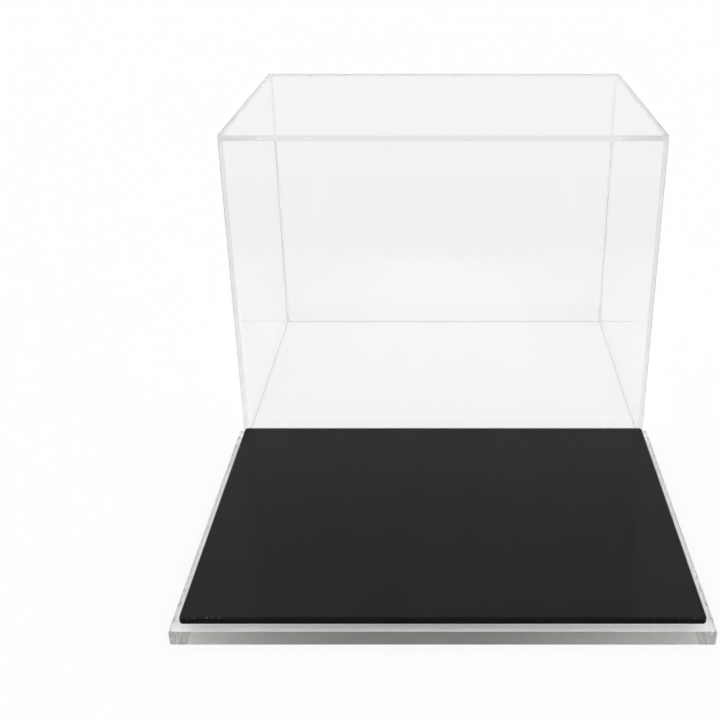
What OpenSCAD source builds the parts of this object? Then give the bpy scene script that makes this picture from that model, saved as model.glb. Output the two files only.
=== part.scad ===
// Helmet display box: a thick clear plate carries a glossy black panel, and a
// clear cover of five bonded sheets fits round the panel and rests on the plate.
// The cover is shown lifted off, standing on the table behind the plate.
// Millimetres. +X is right, +Y is the rear, +Z is up. The origin is the middle
// of the plate's underside.

/* [Base plate] */
// Width of the clear plate
plate_w = 400; // [260:1:600]
// Depth of the clear plate
plate_d = 300; // [200:1:450]
// Thickness of the clear plate
plate_t = 12; // [6:0.5:20]
// Arris eased off every edge of the plate
plate_arris = 0.2; // [0.1:0.1:1.5]

/* [Cover] */
// Height of the cover, from its rim to its upper face
cover_h = 302; // [150:1:450]
// Thickness of the four wall sheets
wall_t = 4; // [2:0.5:8]
// Thickness of the top sheet
top_t = 5; // [2:0.5:10]
// Arris eased off the cover's outer edges and its rim
cover_arris = 0.3; // [0.1:0.1:0.8]
// Border of the plate that stays bare outside the seated cover
cover_border = 2; // [0.5:0.5:10]
// Space on the table between the plate and the cover behind it
parking_gap = 9; // [3:1:80]

/* [Display panel] */
// Thickness of the black panel
panel_t = 6; // [3:0.5:12]
// Radius of the panel's corners, seen from above
panel_corner_r = 3; // [1:0.5:12]
// Radius of the panel's rounded upper and lower edges
panel_edge_r = 1.5; // [0.5:0.1:4]
// Play between the panel and the inside of the seated cover
panel_play = 0.5; // [0.2:0.1:2]

/* [Mounting tape] */
// Thickness of the double-sided tape under the panel
tape_t = 1; // [0.4:0.1:2]
// Width of a tape strip
tape_w = 50; // [6:1:60]
// How far the tape stays back from the panel's sides
tape_inset = 1.2; // [0:0.1:20]
// Gap where two strips come together at a corner
tape_gap = 1; // [0.5:0.5:5]

/* [Hidden] */
$fn = 64;

// How far a cutting or trimming shape runs past the solid it shapes
past = 1;
// Flat that a rounded edge leaves at the middle of the panel's thickness
edge_flat = 0.4;

// Outside and inside of the cover, from the plate that it stands on
cover_w = plate_w - 2 * cover_border;
cover_d = plate_d - 2 * cover_border;
inside_w = cover_w - 2 * wall_t;
inside_d = cover_d - 2 * wall_t;
wall_h = cover_h - top_t;
// Middle of the cover where it stands behind the plate
parked_y = plate_d / 2 + parking_gap + cover_d / 2;

// The panel fills the cover's inside, less its play
panel_w = inside_w - 2 * panel_play;
panel_d = inside_d - 2 * panel_play;
panel_z = plate_t + tape_t;
edge_r = min(panel_edge_r, (panel_t - edge_flat) / 2);

// Tape strips: two run the width of the panel, two fill in between them
tape_long = panel_w - 2 * tape_inset;
tape_short = panel_d - 2 * (tape_inset + tape_w + tape_gap);
tape_x = panel_w / 2 - tape_inset - tape_w / 2;
tape_y = panel_d / 2 - tape_inset - tape_w / 2;

CLEAR = [0.82, 0.88, 0.90, 0.45];
BLACK = [0.10, 0.10, 0.11];
TAPE = [0.93, 0.93, 0.90];

// All four edges along one axis, as signs on the other two axes
EVERY = [for (a = [-1, 1], b = [-1, 1]) [a, b]];
NONE = [];

// Square bar on its corner: taken from an edge, it leaves an arris of that leg
module arris_bar(length, leg) {
    rotate([0, 0, 45])
        cube([leg * sqrt(2), leg * sqrt(2), length + 2 * past], center = true);
}

// Flat sheet, middle at the origin, with the named edges along X, Y and Z eased
module eased_sheet(size, leg, along_x = NONE, along_y = NONE, along_z = NONE) {
    half = size / 2;
    difference() {
        cube(size, center = true);
        for (s = along_x)
            translate([0, s[0] * half[1], s[1] * half[2]])
                rotate([0, 90, 0]) arris_bar(size[0], leg);
        for (s = along_y)
            translate([s[0] * half[0], 0, s[1] * half[2]])
                rotate([90, 0, 0]) arris_bar(size[1], leg);
        for (s = along_z)
            translate([s[0] * half[0], s[1] * half[1], 0])
                arris_bar(size[2], leg);
    }
}

// Rectangle with round corners, middle at the origin
module rounded_rectangle(size, r) {
    square([size[0] - 2 * r, size[1]], center = true);
    square([size[0], size[1] - 2 * r], center = true);
    for (s = EVERY)
        translate([s[0] * (size[0] / 2 - r), s[1] * (size[1] / 2 - r)]) circle(r);
}

// Clear plate that everything stands on
module base_plate() {
    color(CLEAR)
        translate([0, 0, plate_t / 2])
            eased_sheet([plate_w, plate_d, plate_t], plate_arris, EVERY, EVERY, EVERY);
}

// Black panel: its plan has round corners, and both of its side views round edges
module display_panel() {
    color(BLACK)
        translate([0, 0, panel_z + panel_t / 2])
            intersection() {
                linear_extrude(panel_t + 2 * past, center = true)
                    rounded_rectangle([panel_w, panel_d], panel_corner_r);
                rotate([90, 0, 0])
                    linear_extrude(panel_d + 2 * past, center = true)
                        rounded_rectangle([panel_w, panel_t], edge_r);
                rotate([90, 0, 90])
                    linear_extrude(panel_w + 2 * past, center = true)
                        rounded_rectangle([panel_d, panel_t], edge_r);
            }
}

// One strip of tape lying on the plate, under the panel
module tape_strip(x, y, length_x, length_y) {
    color(TAPE)
        translate([x, y, plate_t + tape_t / 2])
            cube([length_x, length_y, tape_t], center = true);
}

module tape_front() { tape_strip(0, -tape_y, tape_long, tape_w); }
module tape_rear() { tape_strip(0, tape_y, tape_long, tape_w); }
module tape_left() { tape_strip(-tape_x, 0, tape_w, tape_short); }
module tape_right() { tape_strip(tape_x, 0, tape_w, tape_short); }

// Front or rear wall: runs the cover's full width and hides the side walls' ends
module long_wall(side) {
    color(CLEAR)
        translate([0, parked_y + side * (cover_d - wall_t) / 2, wall_h / 2])
            eased_sheet([cover_w, wall_t, wall_h], cover_arris,
                        along_x = [[-1, -1], [1, -1]],
                        along_y = [[-1, -1], [1, -1]],
                        along_z = [[-1, side], [1, side]]);
}

// Left or right wall: stands between the front and rear walls
module short_wall(side) {
    color(CLEAR)
        translate([side * (cover_w - wall_t) / 2, parked_y, wall_h / 2])
            eased_sheet([wall_t, inside_d, wall_h], cover_arris,
                        along_y = [[-1, -1], [1, -1]]);
}

module cover_front() { long_wall(-1); }
module cover_rear() { long_wall(1); }
module cover_left() { short_wall(-1); }
module cover_right() { short_wall(1); }

// Top sheet: lies on all four walls, flush with their outer faces
module cover_top() {
    color(CLEAR)
        translate([0, parked_y, wall_h + top_t / 2])
            eased_sheet([cover_w, cover_d, top_t], cover_arris,
                        along_x = [[-1, 1], [1, 1]],
                        along_y = [[-1, 1], [1, 1]],
                        along_z = EVERY);
}

base_plate();
display_panel();
tape_front();
tape_rear();
tape_left();
tape_right();
cover_front();
cover_rear();
cover_left();
cover_right();
cover_top();
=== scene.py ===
# %% [markdown]
# # A helmet display box
# The base lies in front: a thick clear plate with a glossy black panel on it. The clear cover has been
# lifted off and stands behind. CAD gives every piece its size and place, and MuJoCo gives the cover its
# lift. This script loads that model as a fixed frame and dresses it: each flat CAD solid is replaced by
# a surface of the same size with real arrises, and gets a finish built from shader nodes.

import math

import bpy
import numpy as np
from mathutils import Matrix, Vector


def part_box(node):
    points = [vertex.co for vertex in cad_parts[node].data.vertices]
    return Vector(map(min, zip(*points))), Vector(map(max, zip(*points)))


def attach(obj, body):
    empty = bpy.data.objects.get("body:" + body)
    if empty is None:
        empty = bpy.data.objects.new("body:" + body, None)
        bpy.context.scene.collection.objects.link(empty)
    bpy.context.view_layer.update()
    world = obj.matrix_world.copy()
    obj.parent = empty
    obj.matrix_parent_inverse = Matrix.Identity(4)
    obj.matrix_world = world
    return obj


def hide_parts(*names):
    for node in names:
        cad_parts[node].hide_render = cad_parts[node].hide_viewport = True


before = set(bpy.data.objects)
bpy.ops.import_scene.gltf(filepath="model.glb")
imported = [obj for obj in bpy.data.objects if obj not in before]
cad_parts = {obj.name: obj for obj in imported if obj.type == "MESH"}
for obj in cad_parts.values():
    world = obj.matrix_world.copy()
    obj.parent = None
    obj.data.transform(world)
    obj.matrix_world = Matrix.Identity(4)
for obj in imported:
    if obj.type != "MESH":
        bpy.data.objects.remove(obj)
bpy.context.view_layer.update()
MM = 0.001

# %% [markdown]
# ## Camera
# The picture was taken from straight in front, looking down at about 25 degrees, so the camera is turned
# neither left nor right. The box sits right of the middle of the frame, and turning the camera to put it
# there would make its left and right edges converge unevenly. A shifted lens moves the picture sideways
# and leaves the perspective alone.

# %% Camera
PICTURE = 720
FOCAL_PIXELS = 1054.3
MIDDLE_PIXELS = (445, 360)
SENSOR = 36
EYE = (1.6 * MM, -759.2 * MM, 519.1 * MM)
LOOKING_DOWN = 25.32


def photo_camera():
    """Pinhole camera: lens = focal length in pixels x sensor width / picture width, and a shift that
    puts the optical axis on the pixel MIDDLE_PIXELS."""
    lens = bpy.data.cameras.new("photo_camera")
    lens.sensor_width = SENSOR
    lens.lens = FOCAL_PIXELS * SENSOR / PICTURE
    lens.shift_x = 0.5 - MIDDLE_PIXELS[0] / PICTURE
    lens.shift_y = MIDDLE_PIXELS[1] / PICTURE - 0.5
    camera = bpy.data.objects.new("photo_camera", lens)
    camera.location = EYE
    camera.rotation_euler = (math.radians(90 - LOOKING_DOWN), 0, 0)
    bpy.context.scene.collection.objects.link(camera)
    bpy.context.scene.camera = camera
    return lens


lens = photo_camera()
print("lens", round(lens.lens, 2), "mm, shift", round(lens.shift_x, 4), round(lens.shift_y, 4))

# %% [markdown]
# ## One way to make every sheet
# Plate, panel, walls, top and tape are all sheets: a flat outline with some thickness. A scaled cube
# with a Bevel modifier would round all twelve edges alike, but on the real cover only the free edges are
# eased and the bonded ones are left square. So a sheet is a stack of outlines, one for each depth through
# its thickness. Near a face the outline shrinks along a quarter circle.

# %% Eased edges


def drawn_in(depth, radius):
    """How far an eased edge draws the outline in at a depth below the face: r - sqrt(r2 - (r - depth)2),
    a quarter circle, and nothing further down than r."""
    left = np.clip(radius - depth, 0, radius)
    return radius - np.sqrt(np.maximum(radius**2 - left**2, 0))


def depths_through(thickness, radius, steps, rows):
    """Depths from one face to the other: r(1 - cos a) down the first quarter circle, an even run of rows
    between, and the same quarter circle mirrored at the far face."""
    turn = np.linspace(0, np.pi / 2, steps)
    edge = radius * (1 - np.cos(turn))
    middle = np.linspace(radius, thickness - radius, rows + 2)[1:-1]
    return np.concatenate([edge, middle, thickness - edge[::-1]])


print("an edge of 0.5 mm is drawn in", np.round(drawn_in(np.array([0, 0.25, 0.5]), 0.5), 3), "mm")

# %% [markdown]
# ## The outline at each depth
# Each of an outline's four sides is drawn in by its own radius, because a bonded side stays square while
# the free side next to it is eased. A square corner keeps a radius of a hair. That way every ring has the
# same number of points, and neighbouring rings can be joined point to point.

# %% Outlines of a sheet
HAIRLINE = 0.02 * MM


def outlines(low, high, across, near_r, far_r, corner_r, depths, turn_steps, side_steps):
    """Stack of rings of a sheet that is thin along the axis across. At each depth the outline is a
    rectangle drawn in on its four sides (low u, high u, low v, high v), with a quarter circle at each
    corner; u and v are the next two axes in turn. Returns an array of ring, point, xyz."""
    u_axis, v_axis = (across + 1) % 3, (across + 2) % 3
    low, high = np.array(low), np.array(high)
    thickness = high[across] - low[across]
    inset = np.maximum(drawn_in(depths[:, None], np.array(near_r)),
                       drawn_in(thickness - depths[:, None], np.array(far_r)))
    u_side = np.stack([low[u_axis] + inset[:, 0], high[u_axis] - inset[:, 1]], axis=1)
    v_side = np.stack([low[v_axis] + inset[:, 2], high[v_axis] - inset[:, 3]], axis=1)
    u_pick, v_pick = np.array([0, 1, 1, 0]), np.array([0, 0, 1, 1])
    tight = np.minimum(inset[:, u_pick], inset[:, 2 + v_pick])
    radius = np.maximum(np.array(corner_r) - tight, HAIRLINE)
    u_middle = u_side[:, u_pick] + radius * np.array([1, -1, -1, 1])
    v_middle = v_side[:, v_pick] + radius * np.array([1, 1, -1, -1])
    turn = np.radians([180, 270, 0, 90])[:, None] + np.linspace(0, np.pi / 2, turn_steps)
    u = u_middle[:, :, None] + radius[:, :, None] * np.cos(turn)
    v = v_middle[:, :, None] + radius[:, :, None] * np.sin(turn)
    corners = np.stack([u, v], axis=-1)
    runs = []
    for k, steps in enumerate(side_steps):
        start, end = corners[:, k, -1:], corners[:, (k + 1) % 4, :1]
        runs += [corners[:, k], start + (end - start) * np.asarray(steps)[None, :, None]]
    ring = np.concatenate(runs, axis=1)
    stack = np.empty(ring.shape[:2] + (3,))
    stack[:, :, u_axis] = ring[:, :, 0]
    stack[:, :, v_axis] = ring[:, :, 1]
    stack[:, :, across] = (low[across] + depths)[:, None]
    return stack


print("a square corner keeps a radius of", HAIRLINE / MM, "mm")

# %% [markdown]
# ## Skinning the outlines
# Neighbouring points of neighbouring rings make one quad, and each end of the stack is closed by one flat
# face. The two big faces and the rim get different material slots, because on acrylic they look
# different: the faces are cast smooth, the rim is sawn or milled. The faces stay flat shaded, so that no
# bent normal reaches them from the rounded edge, and clear plastic refracts straight.

# %% Skin
FACES, RIM, MATT, FOOT = 0, 1, 2, 3
FACING = 0.9


def skinned(name, stacks, smooth_rim):
    """Closed mesh from one or more stacks of rings (stack, ring, point, xyz): quads between rings, one
    flat face at each end, wound so that all faces point outwards."""
    stacks = stacks.reshape((-1,) + stacks.shape[-3:])
    index = np.arange(np.prod(stacks.shape[:3])).reshape(stacks.shape[:3])
    ahead = np.roll(index, -1, axis=2)
    quads = np.stack([index[:, :-1], ahead[:, :-1], ahead[:, 1:], index[:, 1:]], axis=-1).reshape(-1, 4)
    ends = np.concatenate([index[:, 0, ::-1], index[:, -1]])
    mesh = bpy.data.meshes.new(name)
    mesh.from_pydata(stacks.reshape(-1, 3).tolist(), [], quads.tolist() + ends.tolist())
    on_rim = np.arange(len(mesh.polygons)) < len(quads)
    mesh.polygons.foreach_set("material_index", np.where(on_rim, RIM, FACES).astype(np.int32))
    mesh.polygons.foreach_set("use_smooth", on_rim & smooth_rim)
    mesh.update()
    return mesh


def give_slot(mesh, ways, slot):
    """Gives another material slot to the rim's faces that look along one of the ways: those whose normal
    has a dot product above FACING with it, which is within 25 degrees."""
    normals = np.empty(3 * len(mesh.polygons), dtype=np.float32)
    slots = np.empty(len(mesh.polygons), dtype=np.int32)
    mesh.polygons.foreach_get("normal", normals)
    mesh.polygons.foreach_get("material_index", slots)
    facing = normals.reshape(-1, 3) @ np.array(ways, dtype=np.float32).T > FACING
    slots[facing.any(axis=1) & (slots == RIM)] = slot
    mesh.polygons.foreach_set("material_index", slots)


print("material slots: faces", FACES, "rim", RIM, "matt ends", MATT, "feet", FOOT)

# %% [markdown]
# ## From mesh to piece
# A mesh becomes a piece of the box once it has an object, a finish for each material slot and a body to
# ride on. The object stays at the origin, unturned, because its place is already in its mesh. A piece
# that stands for a CAD solid hides it, and the solid goes on working in the motion model.

# %% Piece


def piece(mesh, body, nodes, finishes):
    """Object at the origin that rides on a body, stands for CAD nodes and wears one finish per slot."""
    made = bpy.data.objects.new(mesh.name, mesh)
    bpy.context.scene.collection.objects.link(made)
    for finish in finishes:
        mesh.materials.append(finish)
    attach(made, body)
    if nodes:
        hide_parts(*nodes)
    print(made.name, len(mesh.vertices), "points,", len(mesh.polygons), "faces, on", body)
    return made


# %% [markdown]
# ## Writing finishes
# A finish is a node tree: a few textures that read Object coordinates, and a Principled shader at the
# end. Building it node by node in the editor works, but a few small helpers keep it readable as text.
# What is the same all over a surface, such as the refractive index, is typed into the shader's own
# socket, so that it also survives the export.

# %% Nodes
ACRYLIC_INDEX = 1.49


def add(tree, kind, inputs, **settings):
    """Adds a node. Settings are its own options; inputs are numbers to type in or sockets to link."""
    node = tree.nodes.new(kind)
    for key, value in settings.items():
        setattr(node, key, value)
    for key, value in inputs.items():
        if isinstance(value, bpy.types.NodeSocket):
            tree.links.new(value, node.inputs[key])
        else:
            node.inputs[key].default_value = value
    return node


def new_finish(name, constants):
    """A material with its Principled shader, constants typed into the shader's sockets, and the Object
    coordinates that its textures will read."""
    finish = bpy.data.materials.new(name)
    finish.use_nodes = True
    tree = finish.node_tree
    shader = tree.nodes["Principled BSDF"]
    for key, value in constants.items():
        shader.inputs[key].default_value = value
    where = add(tree, "ShaderNodeTexCoord", {}).outputs["Object"]
    return finish, tree, shader, where


print("acrylic bends light by an index of", ACRYLIC_INDEX)

# %% [markdown]
# ## Textures and arithmetic
# Haze, dust and wear aren't painted: noise gives each of them its uneven spread, and a little arithmetic
# on the coordinates keeps it where the real mark is. Each helper adds one node and returns its socket, so
# that they can be written inside one another like a formula.

# %% Textures and arithmetic
FADE_IN, FADE_OUT = (0.0, 1.0), (1.0, 0.0)
MOST_NOISE = (0.3, 0.7)


def stretched(tree, where, scale):
    """The same coordinates, squeezed by a scale along each axis, so that a texture is drawn out."""
    return add(tree, "ShaderNodeMapping", {"Vector": where, "Scale": scale}).outputs[0]


def placed(tree, where):
    """The coordinates as three separate sockets, X, Y and Z."""
    return add(tree, "ShaderNodeSeparateXYZ", {"Vector": where}).outputs


def noise(tree, where, scale, detail):
    """Cloudy noise between 0 and 1, with features about 1 / scale metres across."""
    settings = {"Vector": where, "Scale": scale, "Detail": detail}
    return add(tree, "ShaderNodeTexNoise", settings).outputs["Fac"]


def reckon(tree, operation, *values):
    """One step of arithmetic on numbers or sockets, such as SUBTRACT or COSINE."""
    return add(tree, "ShaderNodeMath", dict(enumerate(values)), operation=operation).outputs[0]


def spread(tree, value, old, new):
    """Straight line from the old range to the new one, held at its ends."""
    ranges = {"Value": value, "From Min": old[0], "From Max": old[1], "To Min": new[0], "To Max": new[1]}
    return add(tree, "ShaderNodeMapRange", ranges).outputs["Result"]


def between(tree, factor, dark, light):
    """Colour from dark to light as the factor goes from 0 to 1; the dark one may be a socket."""
    if not isinstance(dark, bpy.types.NodeSocket):
        dark = (*dark, 1)
    mixing = {"Factor": factor, 6: dark, 7: (*light, 1)}
    return add(tree, "ShaderNodeMix", mixing, data_type="RGBA").outputs[2]


def wear(tree, shader, colour, roughness):
    """Links the two sockets that every finish varies over its surface."""
    tree.links.new(colour, shader.inputs["Base Color"])
    tree.links.new(roughness, shader.inputs["Roughness"])


def bumped(tree, shader, height, distance, strength):
    """Bump: height 0 to 1 stands for that distance in metres."""
    bump = add(tree, "ShaderNodeBump", {"Height": height, "Distance": distance, "Strength": strength})
    tree.links.new(bump.outputs["Normal"], shader.inputs["Normal"])


print("most of a noise lies between", MOST_NOISE[0], "and", MOST_NOISE[1])

# %% [markdown]
# ## Clear acrylic
# Cast acrylic is nearly colourless, but not quite: along a cut edge the eye looks through the whole width
# of the sheet, and there it turns grey. A grey surface colour alone can't do that, because it doesn't
# know how far the light has travelled. So the volume absorbs a little per metre. The faces carry a faint
# haze from wiping. The cut rims were milled and left satin: light still goes through them, but scattered,
# and that is why a clear box shows pale grey edges.

# %% Clear acrylic
MIRRORING = (0.3, 0.3, 0.3, 1)
HALF_GREY = (0.5, 0.5, 0.5, 1)
FACE_CLOUDS, RIM_CLOUDS = 0.006, 0.012
WIPING = (5, 40, 9)
HAZY, HAZE = (0.55, 0.8), (0.0, 0.03)


def clear_plastic(name, clearness, absorbing):
    """Acrylic to build on: its index, the share of light that goes through, a weak mirror, and a volume
    that takes light away in proportion to the path."""
    constants = {"Transmission Weight": clearness, "IOR": ACRYLIC_INDEX, "Specular Tint": MIRRORING}
    finish, tree, shader, where = new_finish(name, constants)
    inside = add(tree, "ShaderNodeVolumeAbsorption", {"Color": HALF_GREY, "Density": absorbing})
    tree.links.new(inside.outputs["Volume"], tree.nodes["Material Output"].inputs["Volume"])
    return finish, tree, shader, where


def clear_faces(name, tint, absorbing):
    """Polished face: a tint that varies a little in soft clouds, and some drawn-out haze."""
    finish, tree, shader, where = clear_plastic(name, 1.0, absorbing)
    clouds = noise(tree, where, scale=9, detail=3)
    tinted = between(tree, clouds, [v - FACE_CLOUDS for v in tint], tint)
    wiped = noise(tree, stretched(tree, where, WIPING), scale=4, detail=4)
    wear(tree, shader, tinted, spread(tree, wiped, HAZY, HAZE))
    return finish


def clear_rim(name, tint, absorbing, dullness, clearness=1.0):
    """Rim: the same plastic, duller in soft clouds; what clearness leaves out of its light is scattered."""
    finish, tree, shader, where = clear_plastic(name, clearness, absorbing)
    clouds = noise(tree, where, scale=60, detail=3)
    tinted = between(tree, clouds, [v - RIM_CLOUDS for v in tint], tint)
    wear(tree, shader, tinted, spread(tree, clouds, MOST_NOISE, dullness))
    return finish


print("a clear face is up to", FACE_CLOUDS, "greyer in its clouds, a rim up to", RIM_CLOUDS)

# %% [markdown]
# ## Finishes of the cover
# The front and the top are a trace greyer than the other sheets. One finish for every rim would be
# simpler, but the sheets' ends were worked differently, and it shows: the walls' upper ends were sanded
# for the cement, so they also throw some light back, and their lower ends were polished, so they mirror
# it up the wall.

# %% Finishes of the cover
WHITE = (1.0, 1.0, 1.0)
FRONT_TINT, TOP_TINT = (0.938, 0.934, 0.937), (0.904, 0.900, 0.903)
WALL_TINT = (0.992, 0.988, 0.991)
RIM_TINT, TOP_RIM_TINT = (0.965, 0.965, 0.965), (0.86, 0.86, 0.86)
POLISHED, SATIN, SANDED = (0.0, 0.04), (0.3, 0.45), (0.4, 0.55)
SANDED_CLEARNESS = 0.6
SHEET_ABSORBING = 0.3

front_faces = clear_faces("front_faces", FRONT_TINT, SHEET_ABSORBING)
wall_faces = clear_faces("wall_faces", WALL_TINT, SHEET_ABSORBING)
top_faces = clear_faces("top_faces", TOP_TINT, SHEET_ABSORBING)
wall_rim = clear_rim("wall_rim", RIM_TINT, SHEET_ABSORBING, SATIN)
wall_head = clear_rim("wall_head", WHITE, SHEET_ABSORBING, SANDED, SANDED_CLEARNESS)
wall_foot = clear_rim("wall_foot", WHITE, SHEET_ABSORBING, POLISHED)
top_rim = clear_rim("top_rim", TOP_RIM_TINT, SHEET_ABSORBING, SATIN)
top_sides = clear_rim("top_sides", WHITE, SHEET_ABSORBING, SATIN)
front_wall = [front_faces, wall_rim, wall_head, wall_foot]
other_wall = [wall_faces, wall_rim, wall_head, wall_foot]
lid = [top_faces, top_rim, top_sides]
print("finishes of the front:", [finish.name for finish in front_wall])
print("finishes of the top:", [finish.name for finish in lid])

# %% [markdown]
# ## The cover
# Five sheets, cemented edge to face: front and rear run the full width, left and right stand between
# them, and the top lies on all four. Through the front, the eye meets the satin ends of the sheets behind
# it, and they draw the pale bands at the corners. Faces that exactly coincide would confuse a ray of
# light, so every bonded end is shortened by a film of cement. The free edges get the CAD model's arris as
# a quarter round.

# %% Cover sheets
X, Y, Z = 0, 1, 2
LEFT, RIGHT, FORWARD = (-1, 0, 0), (1, 0, 0), (0, -1, 0)
BACK, UP, DOWN = (0, 1, 0), (0, 0, 1), (0, 0, -1)
CEMENT_FILM = 0.03 * MM
ARRIS, SQUARE = 0.3 * MM, HAIRLINE
END_STEPS = (0.002, 0.998)
ROUND_STEPS = 5


def cover_sheet(name, node, across, radii, bonded, ends, finishes):
    """A sheet of the cover from its CAD box: outlines with the given radii at its near face, far face and
    corners. Its bonded ends, named by the ways that they face, are shortened by a film of cement, and
    some ends get a finish of their own."""
    low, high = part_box(node)
    ways = np.array(bonded, dtype=float).reshape(-1, 3)
    low = np.array(low) - CEMENT_FILM * np.minimum(ways, 0).sum(axis=0)
    high = np.array(high) - CEMENT_FILM * np.maximum(ways, 0).sum(axis=0)
    depths = depths_through(high[across] - low[across], ARRIS, ROUND_STEPS, rows=1)
    stack = outlines(low, high, across, *radii, depths, ROUND_STEPS, [END_STEPS] * 4)
    mesh = skinned(name, stack, smooth_rim=False)
    for slot, facing in ends.items():
        give_slot(mesh, facing, slot)
    return piece(mesh, "cover", [node], finishes)


a, s = ARRIS, SQUARE
front_radii = ((a, s, a, a), (a, s, s, s), (a, s, s, a))
rear_radii = ((a, s, s, s), (a, s, a, a), (a, s, s, a))
side_radii = ((s, s, a, s), (s, s, a, s), (s, s, s, s))
top_radii = ((s, s, s, s), (a, a, a, a), (a, a, a, a))
wall_ends = {MATT: [UP], FOOT: [DOWN]}
cover_sheet("front_pane", "cover_front", Y, front_radii, [UP], wall_ends, front_wall)
cover_sheet("rear_pane", "cover_rear", Y, rear_radii, [UP], wall_ends, other_wall)
cover_sheet("left_pane", "cover_left", X, side_radii, [FORWARD, BACK, UP], wall_ends, other_wall)
cover_sheet("right_pane", "cover_right", X, side_radii, [FORWARD, BACK, UP], wall_ends, other_wall)
cover_sheet("top_pane", "cover_top", Z, top_radii, [], {MATT: [LEFT, RIGHT]}, lid)

# %% [markdown]
# ## Beads of cement
# The front joints were wiped clean, but at the rear the cement crept out into the inside corners and set
# there as small hollow fillets, rough from shrinking. They draw the fine grey lines that show through the
# front. Each bead is a profile carried along a corner, two legs and a hollow quarter circle between them,
# and the legs swell and shrink a little on the way.

# %% Cement beads
BEAD_LEG = 1.5 * MM
BEAD_STOP, BEAD_FOOT = 1.3 * BEAD_LEG, 1 * MM
BEAD_RINGS, HOLLOW_POINTS = 60, 7
OFF_JOINT = 0.03
SLOW_WAVE, QUICK_WAVE = 17 * MM, 5.3 * MM
SLOW_SWELL, QUICK_SWELL = 0.12, 0.08
SHRUNK = (0.8, 0.95)


def bead(corner, end, leg_a, leg_b):
    """Rings of one bead from corner to end. The profile has its corner a hair off the joint, and its
    hollow side is the quarter circle (1 - sin t, 1 - cos t) times the leg; the leg follows two waves."""
    corner, end, leg_a, leg_b = (np.array(v, dtype=float) for v in (corner, end, leg_a, leg_b))
    t = np.linspace(0, np.pi / 2, HOLLOW_POINTS)
    across_a = np.concatenate([[0.0], 1 - np.sin(t)]) + OFF_JOINT
    across_b = np.concatenate([[0.0], 1 - np.cos(t)]) + OFF_JOINT
    if np.dot(np.cross(leg_a, leg_b), end - corner) < 0:
        across_a, across_b = across_a[::-1], across_b[::-1]
    run = np.linspace(0, 1, BEAD_RINGS)[:, None, None]
    length = np.linalg.norm(end - corner)
    slow = SLOW_SWELL * np.sin(run * length / SLOW_WAVE)
    quick = QUICK_SWELL * np.sin(run * length / QUICK_WAVE + 1)
    profile = across_a[None, :, None] * leg_a + across_b[None, :, None] * leg_b
    return corner + run * (end - corner) + BEAD_LEG * (1 + slow + quick) * profile


def cement_beads(finish):
    """Three beads: the two upright inside corners at the rear, and the edge under the top between them."""
    left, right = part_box("cover_left")[1][X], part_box("cover_right")[0][X]
    rear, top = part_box("cover_rear")[0][Y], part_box("cover_top")[0][Z]
    beads = [bead((x, rear, BEAD_FOOT), (x, rear, top - BEAD_STOP), inward, FORWARD)
             for x, inward in ((left, RIGHT), (right, LEFT))]
    beads.append(bead((left + BEAD_STOP, rear, top), (right - BEAD_STOP, rear, top), FORWARD, DOWN))
    mesh = skinned("cement_beads", np.stack(beads), smooth_rim=True)
    return piece(mesh, "cover", [], [finish, finish])


cement_beads(clear_rim("set_cement", WHITE, SHEET_ABSORBING, SHRUNK))

# %% [markdown]
# ## The clear base
# The plate is 12 mm thick. Its front and rear edges are polished, but the left and right ones were cut on
# a saw and left so: near the corners, where the blade came in and went out, it left shallow arcs. Seen
# through the front corners they turn into slanted stripes, because a rough groove lets light in from
# outside, and the smooth plastic beside it is a mirror from within. A bump map can't do that, so the arcs
# are real grooves, and the roughness follows the same circles of the blade's radius.

# %% Saw marks
BLADE_RADIUS, BLADE_AXIS = 150 * MM, -100 * MM
MARK_PITCH, MARK_DEPTH = 17 * MM, 0.03 * MM
MARKED = (75 * MM, 120 * MM)
GROOVED = (0.35, 0.8)
# Painted light and shade: the grooves are coloured white and the lands grey, which strengthens the slanted
# stripes.
SHADED_LANDS, SAWN_DULLNESS = (0.88, 0.88, 0.88), (0.12, 1.0)
SAWN_CLEARNESS = 0.98
PLATE_ABSORBING = 0.2


def saw_marks(y, z):
    """Depth of the saw's marks: the distance along the edge to the blade's circle through (y, z),
    y - sqrt(R2 - (z - axis)2), is wrapped into a sharp cosine wave that fades out between the corners."""
    along = y - np.sqrt(BLADE_RADIUS**2 - (z - BLADE_AXIS) ** 2)
    wave = (0.5 + 0.5 * np.cos(2 * np.pi * along / MARK_PITCH)) ** 3
    return MARK_DEPTH * wave * np.clip((np.abs(y) - MARKED[0]) / (MARKED[1] - MARKED[0]), 0, 1)


def sawn_finish():
    """Sawn edge: nearly clear, a little dull, with rough grooves along the same circles, painted paler than
    the greyer lands as painted light and shade.
    """
    finish, tree, shader, where = clear_plastic("plate_sawn", SAWN_CLEARNESS, PLATE_ABSORBING)
    place = placed(tree, where)
    drop = reckon(tree, "POWER", reckon(tree, "SUBTRACT", place["Z"], BLADE_AXIS), 2)
    reach = reckon(tree, "SQRT", reckon(tree, "SUBTRACT", BLADE_RADIUS**2, drop))
    along = reckon(tree, "SUBTRACT", place["Y"], reach)
    wave = reckon(tree, "COSINE", reckon(tree, "MULTIPLY", along, 2 * math.pi / MARK_PITCH))
    marked = spread(tree, reckon(tree, "ABSOLUTE", place["Y"]), MARKED, FADE_IN)
    grooves = reckon(tree, "MULTIPLY", spread(tree, wave, GROOVED, FADE_IN), marked)
    dull = spread(tree, grooves, FADE_IN, SAWN_DULLNESS)
    wear(tree, shader, between(tree, grooves, SHADED_LANDS, WHITE), dull)
    return finish


plate_sawn = sawn_finish()
print("saw marks", MARK_PITCH / MM, "mm apart and", MARK_DEPTH / MM, "mm deep")

# %% [markdown]
# ## Cutting the base
# The plate is a sheet like the others, with many points along its left and right edges to hold the
# grooves. Each of those points moves inwards by the depth of the marks there. Over the arrises, where the
# outline leaves the plane of the edge, the marks fade out.

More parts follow.
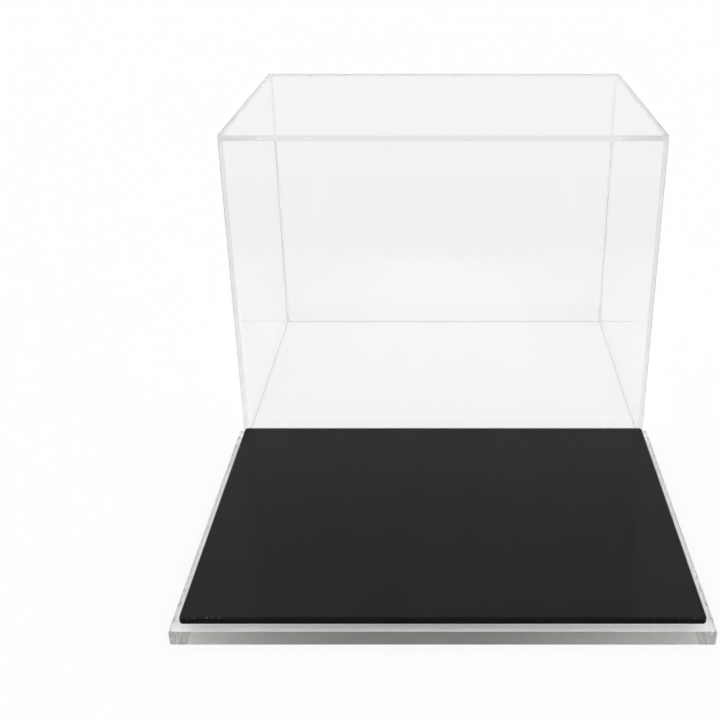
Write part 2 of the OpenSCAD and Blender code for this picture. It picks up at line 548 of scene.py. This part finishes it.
# %% Clear base
PLATE_TINT, PLATE_POLISH = (0.97, 0.97, 0.97), (0.0, 0.03)
PLATE_ARRIS = 0.2 * MM
EDGE_POINTS, EDGE_ROWS = 400, 15
MARK_FADE = 0.1 * MM


def clear_base(finishes):
    """The plate's outlines. On the left and right edges x moves inwards by the saw marks, times a ramp
    that is 1 in the plane of the edge and 0 from MARK_FADE inside it."""
    low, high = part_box("base_plate")
    depths = depths_through(high[Z] - low[Z], PLATE_ARRIS, ROUND_STEPS, EDGE_ROWS)
    fine = np.linspace(0, 1, EDGE_POINTS + 2)[1:-1]
    radii = (PLATE_ARRIS,) * 4
    steps = [END_STEPS, fine, END_STEPS, fine]
    stack = outlines(low, high, Z, radii, radii, radii, depths, ROUND_STEPS, steps)
    reach = np.abs(stack[:, :, X])
    on_edge = np.clip((reach - (high[X] - MARK_FADE)) / MARK_FADE, 0, 1)
    stack[:, :, X] -= np.sign(stack[:, :, X]) * on_edge * saw_marks(stack[:, :, Y], stack[:, :, Z])
    mesh = skinned("clear_base", stack, smooth_rim=False)
    give_slot(mesh, [LEFT, RIGHT], MATT)
    return piece(mesh, "base", ["base_plate"], finishes)


plate_faces = clear_faces("plate_faces", PLATE_TINT, PLATE_ABSORBING)
plate_rim = clear_rim("plate_rim", PLATE_TINT, PLATE_ABSORBING, PLATE_POLISH)
clear_base([plate_faces, plate_rim, plate_sawn])

# %% [markdown]
# ## The black panel's face
# Glossy black acrylic shows almost nothing of itself: what the eye sees is the room, mirrored at a few
# per cent, and some dust. Its colour is therefore very dark, and the gloss does the rest. Wiping has
# dulled the middle; a strip along the sides and the rear, where the cover's walls guard it, kept its
# polish. Dust could be thousands of tiny pieces, but a texture of cells, most of them empty, costs
# nothing.

# %% Black face
FACE_GLOSS = 0.065
FACE_BLACKS = ((0.0085, 0.0085, 0.0098), (0.0103, 0.0103, 0.0117))
DUST, DUST_CELLS = (0.12, 0.115, 0.11), 130
DUSTY, SPECK_SIZE = (0.93, 1.0), (0.0, 0.055)
WIPED_SIDE, WIPED_REAR = (181 * MM, 192 * MM), (118 * MM, 140 * MM)
SMEARING, SMEARED = (3, 14, 3), (0.35, 0.75)
WIPED_DULL, BORDER_DULL = (0.08, 0.16), 0.03


def black_gloss():
    """Face: near-black with faint clouds, scattered dust specks, and a wiped middle duller than its
    border. A cell holds a speck if its random number is high, and the number also gives its size."""
    constants = {"IOR": ACRYLIC_INDEX, "Specular IOR Level": FACE_GLOSS}
    finish, tree, shader, where = new_finish("black_gloss", constants)
    specks = add(tree, "ShaderNodeTexVoronoi", {"Vector": where, "Scale": DUST_CELLS})
    chance = add(tree, "ShaderNodeSeparateColor", {"Color": specks.outputs["Color"]}).outputs["Red"]
    size = spread(tree, chance, DUSTY, SPECK_SIZE)
    dust = reckon(tree, "LESS_THAN", specks.outputs["Distance"], size)
    body = between(tree, noise(tree, where, scale=14, detail=3), *FACE_BLACKS)
    place = placed(tree, where)
    in_x = spread(tree, reckon(tree, "ABSOLUTE", place["X"]), WIPED_SIDE, FADE_OUT)
    in_y = spread(tree, place["Y"], WIPED_REAR, FADE_OUT)
    wiped = reckon(tree, "MULTIPLY", in_x, in_y)
    smears = noise(tree, stretched(tree, where, SMEARING), scale=6, detail=5)
    dull = spread(tree, smears, SMEARED, WIPED_DULL)
    dull = reckon(tree, "MULTIPLY_ADD", wiped, dull, BORDER_DULL)
    wear(tree, shader, between(tree, dust, body, DUST), dull)
    return finish


black_faces = black_gloss()
print("specks of dust in", round((DUSTY[1] - DUSTY[0]) * 100), "of 100 cells")

# %% [markdown]
# ## The black panel's edge
# The rounded edge was sanded and buffed, so it reflects less than the face. Near the front corners it
# carries a painted highlight: short pale streaks where lamps would glint on the rounded edge, so it is
# noise squeezed along one axis, kept to the upper front edge and to its ends.

# %% Black edge
EDGE_GLOSS, EDGE_DULL = 0.08, (0.22, 0.28)
EDGE_BLACKS = ((0.0034, 0.0034, 0.0039), (0.0046, 0.0046, 0.0051))
# Painted highlight: pale streaks on the upper front edge near its ends stand in for glints of light.
PAINTED_GLINT, GLINT_STRETCH, STREAKY = (0.16, 0.16, 0.165), (1, 1, 4), (0.56, 0.68)
GLINT_ENDS = (135 * MM, 175 * MM)
GLINT_TOP = (18.2 * MM, 18.7 * MM)
GLINT_FRONT = (-141.5 * MM, -142.5 * MM)


def black_rim():
    """Rounded edge: sanded and buffed, so the gloss is weaker. A painted highlight: pale streaks of noise
    times three ramps, which keep them near the ends, near the top and in front."""
    constants = {"IOR": ACRYLIC_INDEX, "Specular IOR Level": EDGE_GLOSS}
    finish, tree, shader, where = new_finish("black_rim", constants)
    clouds = noise(tree, where, scale=120, detail=4)
    body = between(tree, clouds, *EDGE_BLACKS)
    streaks = noise(tree, stretched(tree, where, GLINT_STRETCH), scale=420, detail=3)
    streaks = spread(tree, streaks, STREAKY, FADE_IN)
    place = placed(tree, where)
    near_end = spread(tree, reckon(tree, "ABSOLUTE", place["X"]), GLINT_ENDS, FADE_IN)
    near_top = spread(tree, place["Z"], GLINT_TOP, FADE_IN)
    in_front = spread(tree, place["Y"], GLINT_FRONT, FADE_IN)
    glint_place = reckon(tree, "MULTIPLY", reckon(tree, "MULTIPLY", near_end, near_top), in_front)
    painted_glints = reckon(tree, "MULTIPLY", glint_place, streaks)
    dull = spread(tree, clouds, MOST_NOISE, EDGE_DULL)
    wear(tree, shader, between(tree, painted_glints, body, PAINTED_GLINT), dull)
    grain = noise(tree, where, scale=700, detail=3)
    bumped(tree, shader, grain, distance=0.02 * MM, strength=0.1)
    return finish


black_edge = black_rim()
print("black finishes:", black_faces.name, black_edge.name)

# %% [markdown]
# ## Shaping the black panel
# The panel has round corners in plan and a quarter round at both faces, and the buffing ran a little way
# onto the upper face at the sides and the rear. So one more ring lies on that face, further in, and what
# is outside it belongs to the edge's finish.

# %% Black deck
PANEL_EDGE, PANEL_CORNER = 1.5 * MM, 3 * MM
PANEL_EDGE_STEPS, PANEL_CORNER_STEPS = 10, 12
BUFFED_SIDE, BUFFED_REAR = 1.5 * MM, 3 * MM


def black_deck(finishes):
    """The panel's outlines: round corners in plan, and a quarter round at both faces. Two points close to
    each corner and two rows between the faces hold the long sides flat under smooth shading."""
    low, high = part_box("display_panel")
    depths = depths_through(high[Z] - low[Z], PANEL_EDGE, PANEL_EDGE_STEPS, rows=2)
    radii = (PANEL_EDGE,) * 4
    corners = (PANEL_CORNER,) * 4
    steps = [END_STEPS] * 4
    stack = outlines(low, high, Z, radii, radii, corners, depths, PANEL_CORNER_STEPS, steps)
    low = np.array(low) + (BUFFED_SIDE, 0, 0)
    high = np.array(high) - (BUFFED_SIDE, BUFFED_REAR, 0)
    face = outlines(low, high, Z, radii, radii, corners, depths[-1:], PANEL_CORNER_STEPS, steps)
    mesh = skinned("black_deck", np.concatenate([stack, face]), smooth_rim=True)
    return piece(mesh, "base", ["display_panel"], finishes)


black_deck([black_faces, black_edge])

# %% [markdown]
# ## Foam tape
# Four wide strips of double-sided foam tape hold the panel on the plate. Their edge shows as a thin pale
# line right below the panel. Their underside shows too: light that enters the plate's front edge is
# turned back by its polished underside and meets the tape, so that edge looks milky grey. For this the
# adhesive has to wet the plate, so the strips are sunk into it by a hair; a film of air there would act
# as a mirror.

# %% Tape strips
WETTING = 0.02 * MM
TAPE_ROUND = 0.3 * MM
# Painted shade and light: the foam is greyest a little left of the middle of a long strip and paler towards
# its ends.
PAINTED_SHADE_AT, PAINTED_LIGHT_RAMP = -20 * MM, (50 * MM, 160 * MM)
PAINTED_LIGHT_LEVELS, PATCHY = (0.0, 0.8), 0.2
SHADED_FOAM, LIT_FOAM = (0.69, 0.685, 0.67), (0.985, 0.98, 0.965)
FOAM_DULL, FOAM_GLOSS = (0.75, 0.95), 0.3
FOAM_CELLS = 3500


def foam_finish():
    """White foam: small closed cells as bump, in patches, and no gloss. Painted light and shade: greyer a
    little left of the middle of the long strips and paler towards their ends, for the light that the
    plate's sawn sides let in near its ends."""
    finish, tree, shader, where = new_finish("foam_tape", {"Specular IOR Level": FOAM_GLOSS})
    patches = noise(tree, where, scale=40, detail=4)
    aside = reckon(tree, "ABSOLUTE", reckon(tree, "SUBTRACT", placed(tree, where)["X"], PAINTED_SHADE_AT))
    tone = reckon(tree, "MULTIPLY_ADD", patches, PATCHY, spread(tree, aside, PAINTED_LIGHT_RAMP, PAINTED_LIGHT_LEVELS))
    paler = between(tree, tone, SHADED_FOAM, LIT_FOAM)
    wear(tree, shader, paler, spread(tree, patches, MOST_NOISE, FOAM_DULL))
    cells = add(tree, "ShaderNodeTexVoronoi", {"Vector": where, "Scale": FOAM_CELLS})
    bumped(tree, shader, cells.outputs["Distance"], distance=0.05 * MM, strength=0.4)
    return finish


def tape_strip(side, finish):
    """One strip from its CAD box, with rounded long sides and its lower face wetting the plate."""
    low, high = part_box("tape_" + side)
    low = np.array(low) - np.array([0, 0, WETTING])
    depths = depths_through(high[Z] - low[Z], TAPE_ROUND, ROUND_STEPS, rows=1)
    radii = (TAPE_ROUND,) * 4
    stack = outlines(low, high, Z, radii, radii, radii, depths, ROUND_STEPS, [END_STEPS] * 4)
    mesh = skinned("foam_strip_" + side, stack, smooth_rim=False)
    return piece(mesh, "base", ["tape_" + side], [finish, finish])


foam = foam_finish()
for side in ("front", "rear", "left", "right"):
    tape_strip(side, foam)

# %% [markdown]
# ## Dried cement
# Here and there a drop of cement ran out of the joint, was wiped along the top's front edge and dried
# there, whitish, with a faint painted glow that makes it a shade lighter than the edge. A texture could
# tint the edge, but the drops stand a little proud, so each smear is a flat ellipsoid, sunk to half its
# depth.

# %% Cement smears
# Place along the edge, half length and half height of each smear
SMEARS = np.array([[-160, 2.6, 0.75], [-155, 1.6, 0.4], [-119, 2.9, 0.6],
                   [-112, 1.2, 0.4], [-52, 0.9, 0.4], [31, 1.1, 0.4],
                   [96, 0.9, 0.4], [148, 1.2, 0.5], [153.5, 2.6, 0.7]]) * MM
SMEAR_HEIGHT, SMEAR_DEPTH = 2.0 * MM, 0.4 * MM
SMEAR_RINGS, SMEAR_POINTS, SMEAR_POLE = 9, 16, 80
DRIED, DRIED_DULL = ((0.94, 0.94, 0.94), (0.99, 0.99, 0.99)), (0.1, 0.25)
# The emission is a painted glow: the smears shine a little though they are no lamp.
DRIED_GLOSS, PAINTED_SMEAR_GLOW = 0.6, 0.07


def dried_finish():
    """Dried cement: whitish and uneven, with a weak gloss. A faint painted glow stands in for the light
    that runs along inside the sheet and comes out where the cement touches it."""
    glow = {"Emission Color": (*WHITE, 1), "Emission Strength": PAINTED_SMEAR_GLOW}
    finish, tree, shader, where = new_finish("dried_cement_painted_glow", {"Specular IOR Level": DRIED_GLOSS, **glow})
    patches = noise(tree, where, scale=900, detail=2)
    wear(tree, shader, between(tree, patches, *DRIED), spread(tree, patches, MOST_NOISE, DRIED_DULL))
    return finish


def cement_smears(finish):
    """Ellipsoids: rings at latitudes from pole to pole, radius cos(latitude), height sin(latitude),
    scaled to each smear's length, height and depth and set on the top's front edge."""
    low = np.array(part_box("cover_top")[0])
    latitude = np.radians(np.linspace(-SMEAR_POLE, SMEAR_POLE, SMEAR_RINGS))[None, :, None]
    turn = np.linspace(0, 2 * np.pi, SMEAR_POINTS, endpoint=False)[None, None, :]
    x = SMEARS[:, 0, None, None] + SMEARS[:, 1, None, None] * np.cos(latitude) * np.cos(turn)
    y = low[Y] + SMEAR_DEPTH * np.cos(latitude) * np.sin(turn) + 0 * x
    z = low[Z] + SMEAR_HEIGHT + SMEARS[:, 2, None, None] * np.sin(latitude) + 0 * x
    mesh = skinned("cement_smears", np.stack([x, y, z], axis=-1), smooth_rim=True)
    return piece(mesh, "cover", [], [finish, finish])


cement_smears(dried_finish())

# %% [markdown]
# ## Floor
# The box stands on a plain white table. The table glows, mostly for the camera and a little for light
# seen in mirrors and through plastic, so that it reads as white and still keeps the object's shadow; more
# lamps would do that too, but they would bleach the object. It lies a hair lower than the plate, as a
# real plate rests on a few high spots with air under the rest.

# %% Floor
FLOOR_GAP = 0.4 * MM
FLOOR_HALF = 30
PAPER = ((0.952, 0.952, 0.952), (0.965, 0.965, 0.965))
SEEN_GLOW, CLEAR_GLOW = 0.82, 0.12


def floor_finish():
    """Diffuse white mixed with a glow of strength 1. Camera rays get one share of the glow, glossy and
    transmission rays a smaller one, and all other rays none."""
    finish = bpy.data.materials.new("white_table")
    finish.use_nodes = True
    tree = finish.node_tree
    tree.nodes.remove(tree.nodes["Principled BSDF"])
    where = add(tree, "ShaderNodeTexCoord", {}).outputs["Object"]
    paper = between(tree, noise(tree, where, scale=3, detail=2), *PAPER)
    matt = add(tree, "ShaderNodeBsdfDiffuse", {"Color": paper})
    glow = add(tree, "ShaderNodeEmission", {"Color": (*WHITE, 1), "Strength": 1})
    ray = add(tree, "ShaderNodeLightPath", {}).outputs
    bent = reckon(tree, "MAXIMUM", ray["Is Glossy Ray"], ray["Is Transmission Ray"])
    bent = reckon(tree, "MULTIPLY", bent, CLEAR_GLOW)
    share = reckon(tree, "MAXIMUM", bent, reckon(tree, "MULTIPLY", ray["Is Camera Ray"], SEEN_GLOW))
    mixed = add(tree, "ShaderNodeMixShader", {0: share, 1: matt.outputs[0], 2: glow.outputs[0]})
    tree.links.new(mixed.outputs[0], tree.nodes["Material Output"].inputs["Surface"])
    return finish


def table():
    """One large level square, a hair below the plate."""
    corner = np.array([[-1, -1], [1, -1], [1, 1], [-1, 1]]) * FLOOR_HALF
    points = np.column_stack([corner, np.full(4, -FLOOR_GAP)])
    mesh = bpy.data.meshes.new("table")
    mesh.from_pydata(points.tolist(), [], [[0, 1, 2, 3]])
    mesh.materials.append(floor_finish())
    made = bpy.data.objects.new("table", mesh)
    bpy.context.scene.collection.objects.link(made)


table()
print("table at", -FLOOR_GAP / MM, "mm")

# %% [markdown]
# ## Light
# Nearly all the light comes from the world: an even white all round the horizon, a ring of brighter soft
# boxes halfway up, and a dimmer ceiling. The even white keeps the edges of clear plastic pale, and the
# ring is what the front of the black panel mirrors. Real lamps in a dark world would leave black streaks
# in every clear edge. Two small lamps overhead show only in gloss, as highlights on rounded edges. Light
# that is caught in a clear sheet bounces many times before it leaves, so the limits on bounces are high.

# %% World and lamps
# Sine of the elevation, and the brightness there
SKY = ((0.0, 1.0), (0.3, 1.0), (0.45, 0.95), (0.52, 1.05),
       (0.64, 1.5), (0.72, 1.5), (0.86, 0.66), (1.0, 0.62))
LAMP_PLACES = ((-0.51, -0.5, 1.5), (0.51, -0.5, 1.5))
LAMP_SIZE = 0.25
LAMP_WATTS = 2.0
BOUNCES = 48


def studio_world():
    """Brightness by height alone: a ramp over the sine of the elevation, the same all round."""
    world = bpy.data.worlds.new("studio")
    bpy.context.scene.world = world
    world.use_nodes = True
    tree = world.node_tree
    way = add(tree, "ShaderNodeTexCoord", {}).outputs["Generated"]
    ramp = add(tree, "ShaderNodeValToRGB", {"Fac": placed(tree, way)["Z"]})
    while len(ramp.color_ramp.elements) < len(SKY):
        ramp.color_ramp.elements.new(1.0)
    for stop, (place, level) in zip(ramp.color_ramp.elements, SKY):
        stop.position = place
        stop.color = (level, level, level, 1)
    tree.links.new(ramp.outputs["Color"], tree.nodes["Background"].inputs["Color"])


def soft_lamp(place):
    """A small square lamp that faces the middle of the panel and lights no matt surface."""
    light = bpy.data.lights.new("soft_lamp", "AREA")
    light.size = LAMP_SIZE
    light.energy = LAMP_WATTS
    lamp = bpy.data.objects.new("soft_lamp", light)
    lamp.location = place
    lamp.visible_diffuse = False
    low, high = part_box("display_panel")
    toward = (low + high) * 0.5 - lamp.location
    lamp.rotation_euler = toward.to_track_quat("-Z", "Y").to_euler()
    bpy.context.scene.collection.objects.link(lamp)


studio_world()
for place in LAMP_PLACES:
    soft_lamp(place)
scene = bpy.context.scene
scene.view_settings.view_transform = "Standard"
scene.cycles.blur_glossy = 0.0
scene.cycles.max_bounces = BOUNCES
scene.cycles.glossy_bounces = BOUNCES
scene.cycles.transmission_bounces = BOUNCES
print("sky stops:", len(SKY), "lamps:", len(LAMP_PLACES), "bounces:", BOUNCES)
